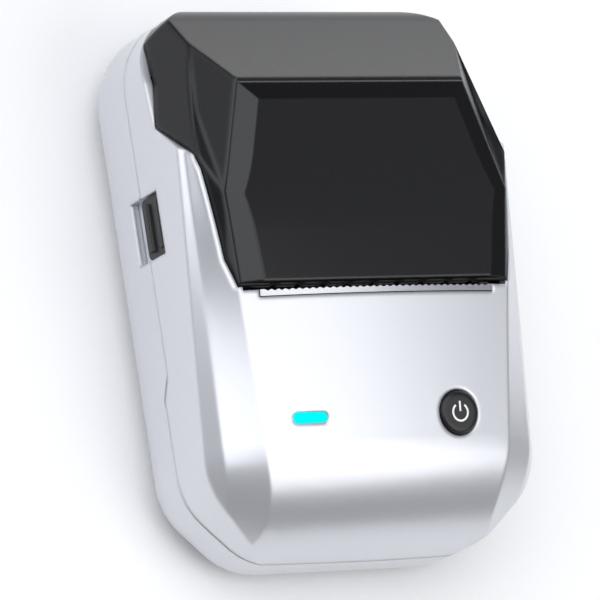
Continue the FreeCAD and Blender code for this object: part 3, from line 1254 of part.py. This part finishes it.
def board_parts():
    """Main board with its screws, switch, light and wireless module."""
    posts = [(f"{sx} * post_x", f"{sy} * post_y") for sx in SIDES.values() for sy in SIDES.values()]
    sheet_z = ("-board_depth - board_thick", "-board_depth")
    board = cut("board_sheet",
                box("board_blank", ("-board_half_x", "board_half_x"), ("-board_half_y", "board_half_y"),
                    sheet_z),
                [rod(f"board_hole_{number}", "Z", place, "board_screw_shank + running_gap", *sheet_z)
                 for number, place in enumerate(posts)])
    piece(on_face(board), "main_board")
    piece(on_face(group("board_screw_set", [
        screw(f"board_screw_{number}", place, "board_screw_head", "board_screw_shank", sheet_z[0],
              "small_head",
              "board_thick + wall") for number, place in enumerate(posts)])), "board_screws")
    top = "-board_depth"
    switch = [box("switch_body_form", ("button_x - switch_size / 2", "button_x + switch_size / 2"),
                  ("-switch_size / 2", "switch_size / 2"), (top, f"{top} + switch_body")),
              rod("switch_plunger", "Z", ("button_x", "0"), "plunger_radius", top,
                  f"{top} + switch_height")]
    piece(on_face(joined("tact_switch_form", switch)), "tact_switch")
    piece(on_face(box("status_led_form", ("-light_x - led_size / 2", "led_size / 2 - light_x"),
                      ("-led_size / 4", "led_size / 4"), (top, f"{top} + led_height"))), "status_led")
    piece(on_face(box("wireless_module_form", ("-radio_x / 2", "radio_x / 2"),
                      ("-radio_y / 2", "radio_y / 2"),
                      (top, f"{top} + radio_height"))), "wireless_module")


def battery_pack():
    """Flat rechargeable pack on the floor of the case."""
    pack = prism("battery_form", "XY", [
        ("-battery_left", "battery_low_y"), ("battery_right", "battery_low_y"),
        ("battery_right", "battery_high_y"), ("-battery_left", "battery_high_y")], floor_z,
        f"{floor_z} + battery_height")
    return piece(round_edges(pack, "battery_round", upright), "battery_pack")


def charge_parts():
    """Small board and socket behind the window in the right side."""
    top = "charge_z + board_thick"
    piece(box("charge_board_form", ("charge_in", f"{half_x} - wall - charge_gap"),
              ("usb_y - charge_half", "usb_y + charge_half"), ("charge_z", top)), "charge_board")
    mouth = f"{half_x} - usb_recess"
    y = ("usb_y - usb_width / 2", "usb_y + usb_width / 2")
    shell = prism("usb_shell", "YZ",
                  [(y[0], top), (y[1], top), (y[1], f"{top} + usb_height"), (y[0], f"{top} + usb_height")],
                  f"{mouth} - usb_length", mouth)
    round_edges(shell, "usb_round", lambda edge: edge.BoundBox.XLength > 1)
    room = box("usb_room", (f"{mouth} - usb_depth", mouth), (f"{y[0]} + usb_sheet", f"{y[1]} - usb_sheet"),
               (f"{top} + usb_sheet", f"{top} + usb_height - usb_sheet"))
    tongue = box("usb_tongue", (f"{mouth} - usb_length", f"{mouth} - usb_recess"),
                 ("usb_y - usb_tongue / 2", "usb_y + usb_tongue / 2"),
                 (f"{top} + usb_height / 2 - usb_sheet", f"{top} + usb_height / 2 + usb_sheet"))
    piece(joined("usb_socket_form", [cut("usb_case", shell, [room]), tongue]), "usb_socket")


# Fasteners and feet

def case_screws():
    """Screws from the back, through the posts into the front shell's lugs."""
    return piece(group("case_screw_set", [
        screw(f"case_screw_{number}", (x, y), "screw_head", "screw_shank", screw_seat, "screw_head_height",
              f"{seam} + seam_gap + screw_bite - ({screw_seat})")
        for number, (x, y, seam) in enumerate(screw_places)]), "case_screws")


def rubber_feet():
    """Pads on the back."""
    return piece(group("foot_set", [
        rod(f"foot_{number}", "Z", place, "foot_radius", "0", "foot_height")
        for number, place in enumerate((f"{side} * foot_x", f"foot_{end}_y") for side in SIDES.values()
                                       for end in ("low", "high"))]),
        "rubber_feet")


for make in (back_shell, front_shell, lid_shell, lid_panel, hinge_pin, lid_liner, lid_screws, platen_bushes,
             platen_roller, platen_shaft, gear_train, idler_pin, stepper_motor, motor_shaft,
             mechanism_frame,
             print_head, head_heatsink, tear_bar, paper_sensor, roll_tray, guide_pinion, latch_slider,
             latch_guide,
             latch_spring, power_button, status_light_pipe, board_parts, battery_pack, charge_parts,
             case_screws,
             rubber_feet):
    make()
for name in SIDES:
    roll_guide(name)

doc.recompute()
faulty = [item.Label for item in doc.Objects if {"Invalid", "Error"} & set(item.State)]
faulty += [item.Label for item in pieces if item.Shape.isNull() or not item.Shape.isValid()]
if faulty:
    raise RuntimeError("failed: " + ", ".join(faulty))
os.makedirs("parts", exist_ok=True)
for item in pieces:
    item.Shape.exportStep(f"parts/{item.Label}.step")
    print(item.Label, len(item.Shape.Solids), round(item.Shape.Volume, 2))
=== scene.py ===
# %% [markdown]
# # A pocket label printer, seen as in its product photograph
#
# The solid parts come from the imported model. This notebook gives every part the
# look of its real material, adds the printed power mark, and sets up the camera
# and a soft studio around it. All lengths are in metres, and sizes given in
# millimetres are multiplied by MM.

import json
import math

import bmesh
import bpy
from mathutils import Matrix, Vector


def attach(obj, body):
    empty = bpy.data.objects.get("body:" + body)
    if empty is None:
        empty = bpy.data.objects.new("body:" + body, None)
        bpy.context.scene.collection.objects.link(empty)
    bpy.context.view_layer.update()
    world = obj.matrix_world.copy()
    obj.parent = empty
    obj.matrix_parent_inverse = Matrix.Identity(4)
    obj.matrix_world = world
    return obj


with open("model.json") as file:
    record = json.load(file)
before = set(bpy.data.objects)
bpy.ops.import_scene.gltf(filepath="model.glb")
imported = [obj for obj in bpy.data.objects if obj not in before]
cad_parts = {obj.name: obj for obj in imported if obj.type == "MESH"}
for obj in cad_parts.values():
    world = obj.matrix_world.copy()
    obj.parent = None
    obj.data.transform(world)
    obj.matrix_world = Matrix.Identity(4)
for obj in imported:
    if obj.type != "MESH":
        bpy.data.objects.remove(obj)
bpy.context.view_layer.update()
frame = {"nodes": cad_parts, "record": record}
nodes = frame["nodes"]
MM = 0.001

# %% [markdown]
# ## Colours and shader nodes
#
# Colours are written as the sRGB hex values that a paint chart would show, and
# one function turns them into the linear light values that the renderer uses.
# A second small function adds a shader node, sets it up and links it, so that
# each material below reads as a short recipe.


# %% Colour and node helpers
def linear(hex_colour):
    """Linear RGBA of an sRGB hex colour."""
    values = [int(hex_colour[i:i + 2], 16) / 255 for i in (1, 3, 5)]
    return [v / 12.92 if v <= 0.04045 else ((v + 0.055) / 1.055) ** 2.4 for v in values] + [1.0]


def add(tree, kind, inputs=None, **settings):
    """New node in a tree, with its settings and its input values or links."""
    item = tree.nodes.new(kind)
    for name, value in settings.items():
        setattr(item, name, value)
    for name, value in (inputs or {}).items():
        if isinstance(value, bpy.types.NodeSocket):
            tree.links.new(value, item.inputs[name])
        else:
            item.inputs[name].default_value = value
    return item


def fresh_tree(material):
    """Empty shader tree of a material."""
    material.use_nodes = True
    material.node_tree.nodes.clear()
    return material.node_tree


print("black in linear light:", [round(v, 4) for v in linear("#2e2e30")[:3]])

# %% [markdown]
# ## Moulded plastics
#
# Moulded plastic is a clear resin with pigment, so it reflects like a layer of
# index 1.46 to 1.5 over its colour. The mould's surface leaves a grain: fine and
# shallow on the satin case, coarser on the matte parts inside. The grain is a
# noise texture whose size is given in millimetres, and it drives a slight bump
# and a slight change of roughness.
#
# The pearl white also holds fine bright flakes, given as a part-metallic value.
# No moulded edge is knife-sharp, so a bevel node rounds the shading along the
# edges, by more on the outside of the case than on small parts.


# %% Plastic, rubber and paint
def moulded(name, colour, roughness, grain_mm, height_mm, ior=1.48, coat=0.0, wear=0.04,
            flake=0.0, edge_mm=0.1):
    """Pigmented plastic or rubber with a moulded grain, and edges softened as a mould leaves them."""
    material = bpy.data.materials.new(name)
    tree = fresh_tree(material)
    place = add(tree, "ShaderNodeTexCoord")
    grain = add(tree, "ShaderNodeTexNoise", {
        "Vector": place.outputs["Object"], "Scale": 1 / (grain_mm * MM), "Detail": 3.0, "Roughness": 0.55})
    spread = add(tree, "ShaderNodeMapRange", {
        "Value": grain.outputs["Fac"], "To Min": max(roughness - wear, 0.02), "To Max": roughness + wear})
    edge = add(tree, "ShaderNodeBevel", {"Radius": edge_mm * MM}, samples=8)
    bump = add(tree, "ShaderNodeBump", {
        "Height": grain.outputs["Fac"], "Strength": 0.6, "Distance": height_mm * MM,
        "Normal": edge.outputs["Normal"]})
    body = add(tree, "ShaderNodeBsdfPrincipled", {
        "Base Color": linear(colour), "Roughness": spread.outputs["Result"], "IOR": ior, "Metallic": flake,
        "Coat Weight": coat, "Coat Roughness": 0.12, "Normal": bump.outputs["Normal"]})
    add(tree, "ShaderNodeOutputMaterial", {"Surface": body.outputs["BSDF"]})
    return material


looks = {
    "pearl_white_plastic": moulded("Pearl white moulded ABS", "#d8d9de", 0.34, 0.12, 0.0004,
                                   coat=0.2, wear=0.02, flake=0.65, edge_mm=1.3),
    "black_satin_plastic": moulded("Black satin moulded ABS", "#0e0e10", 0.28, 0.15, 0.001, edge_mm=1.6),
    "black_gloss_plastic": moulded("Black polished ABS", "#0e0e10", 0.12, 0.4, 0.0005,
                                   wear=0.02, edge_mm=0.8),
    "black_matte_plastic": moulded("Black moulded nylon", "#252527", 0.55, 0.4, 0.02),
    "grey_matte_plastic": moulded("Grey moulded acetal", "#6c6d70", 0.45, 0.4, 0.015),
    "white_gear_plastic": moulded("White moulded acetal", "#e6e3da", 0.4, 0.4, 0.01),
    "led_package": moulded("Clear epoxy", "#f2efdc", 0.15, 0.3, 0.001, ior=1.55),
    "black_rubber": moulded("Black ground rubber", "#1d1d1d", 0.75, 0.3, 0.03, ior=1.52),
    "board_green": moulded("Green solder mask", "#0e4a26", 0.3, 0.5, 0.004, ior=1.55),
    "battery_film": moulded("Blue shrink film", "#2f4468", 0.3, 1.2, 0.02),
    "head_ceramic": moulded("Glazed alumina", "#e9e7df", 0.2, 0.3, 0.002, ior=1.7),
}
latch_look = moulded("Black latch ABS", "#030303", 0.35, 0.3, 0.001, edge_mm=0.25)
print("plastics:", len(looks) + 1)

# %% [markdown]
# ## Metals
#
# A metal has no colour under its surface: the colour of its reflection is the
# base colour and the metallic value is one. Rolled and ground sheet shows fine
# lines along one direction, made here by stretching the noise along X.


# %% Metals
def metal(name, colour, roughness, line_mm, stretch=12.0):
    """Rolled or ground metal with fine lines along X."""
    material = bpy.data.materials.new(name)
    tree = fresh_tree(material)
    place = add(tree, "ShaderNodeTexCoord")
    along = add(tree, "ShaderNodeMapping", {
        "Vector": place.outputs["Object"], "Scale": (1 / stretch, 1.0, 1.0)})
    lines = add(tree, "ShaderNodeTexNoise", {
        "Vector": along.outputs["Vector"], "Scale": 1 / (line_mm * MM), "Detail": 4.0})
    spread = add(tree, "ShaderNodeMapRange", {
        "Value": lines.outputs["Fac"], "To Min": roughness * 0.8, "To Max": roughness * 1.3})
    body = add(tree, "ShaderNodeBsdfPrincipled", {
        "Base Color": linear(colour), "Metallic": 1.0, "Roughness": spread.outputs["Result"]})
    add(tree, "ShaderNodeOutputMaterial", {"Surface": body.outputs["BSDF"]})
    return material


looks.update({
    "bright_steel": metal("Bright stainless steel", "#b4b6ba", 0.22, 0.15),
    "black_steel": metal("Blackened steel", "#3a3a3d", 0.4, 0.2, 1.0),
    "motor_steel": metal("Plated steel", "#b9bab8", 0.3, 0.3),
    "brass": metal("Turned brass", "#c9a65a", 0.25, 0.15),
    "aluminium": metal("Plain aluminium", "#c9cbce", 0.35, 0.2),
})
print("materials so far:", len(looks))

# %% [markdown]
# ## The lit status bar
#
# The bar is a clear light pipe over a cyan diode. It shines evenly and outshines
# what its surface reflects, so it is a plain emitter.


# %% Status light
def glowing(name, colour, strength):
    """Clear plastic lit from behind."""
    material = bpy.data.materials.new(name)
    tree = fresh_tree(material)
    body = add(tree, "ShaderNodeBsdfPrincipled", {
        "Base Color": linear("#000000"), "Specular IOR Level": 0.0,
        "Emission Color": linear(colour), "Emission Strength": strength})
    add(tree, "ShaderNodeOutputMaterial", {"Surface": body.outputs["BSDF"]})
    return material


looks["cyan_light"] = glowing("Lit cyan acrylic", "#00fffd", 1.0)
print("status light ready")

# %% [markdown]
# ## Dress the parts
#
# Each part has a material slot in the model's record. The part takes the look
# of its slot. The latch has a look of its own, because its ridges are too small
# for the soft edges of the lid.

# %% Materials onto parts
for part in frame["record"]["subparts"]:
    piece = nodes[part["node"]]
    piece.data.materials.clear()
    look = latch_look if part["node"] == "latch_slider" else looks[part["material_slot"]]
    piece.data.materials.append(look)

# %% [markdown]
# ## The power mark
#
# The white mark on the button is a broken ring with a bar at its top. It is a
# very thin printed layer, built flat and then laid onto the sloping face.

# %% Power mark
FACE_SLOPE = math.radians(8.7)
FACE = Matrix.Translation((0, -33.1 * MM, 39.0 * MM)) @ Matrix.Rotation(FACE_SLOPE, 4, "X")
BUTTON = Vector((17.05 * MM, 0, 0.25 * MM))
INK = 0.03 * MM


def printed(name, outlines, place, body, look):
    """Thin flat print: each outline is a closed run of points in the plane of the place."""
    mesh = bpy.data.meshes.new(name)
    shape = bmesh.new()
    for points in outlines:
        face = shape.faces.new([shape.verts.new((x, y, 0)) for x, y in points])
        raised = bmesh.ops.extrude_face_region(shape, geom=[face])
        tops = [item for item in raised["geom"] if isinstance(item, bmesh.types.BMVert)]
        bmesh.ops.translate(shape, verts=tops, vec=(0, 0, INK))
    bmesh.ops.recalc_face_normals(shape, faces=shape.faces)
    shape.to_mesh(mesh)
    shape.free()
    item = bpy.data.objects.new(name, mesh)
    bpy.context.scene.collection.objects.link(item)
    item.matrix_world = place
    mesh.materials.append(look)
    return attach(item, body)


def arc(radius, turns):
    """Points on a circle at the given turns."""
    return [(radius * math.cos(turn), radius * math.sin(turn)) for turn in turns]


def ring_outline(radius, stroke, gap_degrees, steps=48):
    """Outline of a ring with a gap at the top."""
    start = 90 + gap_degrees / 2
    turns = [math.radians(start + (360 - gap_degrees) * step / steps) for step in range(steps + 1)]
    return arc(radius + stroke / 2, turns) + arc(radius - stroke / 2, turns[::-1])


stroke = 0.45 * MM
bar_low, bar_high = 0.2 * MM, 2.35 * MM
ring = ring_outline(1.8 * MM, stroke, 70)
bar = [(-stroke / 2, bar_low), (stroke / 2, bar_low), (stroke / 2, bar_high), (-stroke / 2, bar_high)]
white_ink = moulded("White screen ink", "#f4f4f4", 0.5, 0.2, 0.001)
mark = printed("power_mark", [ring, bar], FACE @ Matrix.Translation(BUTTON), "button", white_ink)
print("power mark points:", len(mark.data.vertices))

# %% [markdown]
# ## Camera
#
# The camera looks from the front left, almost as from far away, with a long lens
# as in product photography. Its roll makes the printer's long side nearly
# upright in the picture, as in the photograph.

# %% Camera
right = Vector((0.8597, -0.1527, 0.487)).normalized()
up = Vector((0.0225, 0.964, 0.264))
back = right.cross(up).normalized()
up = back.cross(right).normalized()
aim = Vector((-4.77, -2.75, 18.55)) * MM
distance = 1.4
camera_data = bpy.data.cameras.new("Camera")
camera_data.lens = 399
camera_data.sensor_width = 36
camera_data.clip_start = 0.05
camera = bpy.data.objects.new("Camera", camera_data)
bpy.context.scene.collection.objects.link(camera)
turn = Matrix((right, up, back)).transposed().to_4x4()
camera.matrix_world = Matrix.Translation(aim + back * distance) @ turn
bpy.context.scene.camera = camera
print("camera at:", [round(v, 3) for v in camera.location])

# %% [markdown]
# ## Studio
#
# A pale floor, and two soft boxes: a low one beyond the hinge end that brightens
# the lid's slope, and the key above the front for the face and the chin. The
# surround is dim, with a broad bright canopy overhead that leans to the left and
# a fainter patch on the right, which the face and the lid's panel reflect. Seen
# directly by the camera, the surround is plain white.


# %% Floor, lights and surround
def soft_box(name, place, target, width, height, watts):
    """Rectangular area light facing a target."""
    data = bpy.data.lights.new(name, "AREA")
    data.shape = "RECTANGLE"
    data.size, data.size_y, data.energy = width, height, watts
    item = bpy.data.objects.new(name, data)
    bpy.context.scene.collection.objects.link(item)
    item.location = place
    item.rotation_euler = (Vector(target) - Vector(place)).to_track_quat("-Z", "Y").to_euler()
    return item


floor_mesh = bpy.data.meshes.new("floor")
reach = 3.0
corners = [(-reach, -reach, 0), (reach, -reach, 0), (reach, reach, 0), (-reach, reach, 0)]
floor_mesh.from_pydata(corners, [], [(0, 1, 2, 3)])
floor = bpy.data.objects.new("floor", floor_mesh)
bpy.context.scene.collection.objects.link(floor)
floor_mesh.materials.append(moulded("White backdrop board", "#fafafa", 0.8, 2.0, 0.01))
centre = (0, 0, 0.02)
boxes = [soft_box("end box", (0.4, 0.68, 0.09), centre, 0.7, 0.18, 1.1),
         soft_box("key box", (0.42, -0.47, 1.0), centre, 0.85, 0.85, 4.4)]

world = bpy.data.worlds.new("Studio")
bpy.context.scene.world = world
world.use_nodes = True
sky = world.node_tree
sky.nodes.clear()
rays = add(sky, "ShaderNodeLightPath")
way = add(sky, "ShaderNodeTexCoord").outputs["Generated"]


def lobe(direction, start, end, low, high):
    """Soft patch of light round a direction, brighter from the start cosine to the end cosine."""
    toward = add(sky, "ShaderNodeVectorMath", {0: way, 1: Vector(direction).normalized()},
                 operation="DOT_PRODUCT")
    return add(sky, "ShaderNodeMapRange", {
        "Value": toward.outputs["Value"], "From Min": start, "From Max": end,
        "To Min": low, "To Max": high}, interpolation_type="SMOOTHSTEP").outputs["Result"]


canopy = lobe((-0.4, 0.3, 0.87), 0.66, 0.88, 0.16, 2.1)
fill = lobe((0.55, -0.08, 0.84), 0.8, 0.97, 0.0, 0.35)
light = add(sky, "ShaderNodeMath", {0: canopy, 1: fill}, operation="ADD")
surround = add(sky, "ShaderNodeBackground", {
    "Color": linear("#f4f6fa"), "Strength": light.outputs["Value"]})
paper = add(sky, "ShaderNodeBackground", {"Color": linear("#ffffff"), "Strength": 1.0})
seen = add(sky, "ShaderNodeMixShader", {
    "Fac": rays.outputs["Is Camera Ray"],
    1: surround.outputs["Background"], 2: paper.outputs["Background"]})
add(sky, "ShaderNodeOutputWorld", {"Surface": seen.outputs["Shader"]})
bpy.context.scene.view_settings.view_transform = "Standard"
print("lights:", len(boxes))
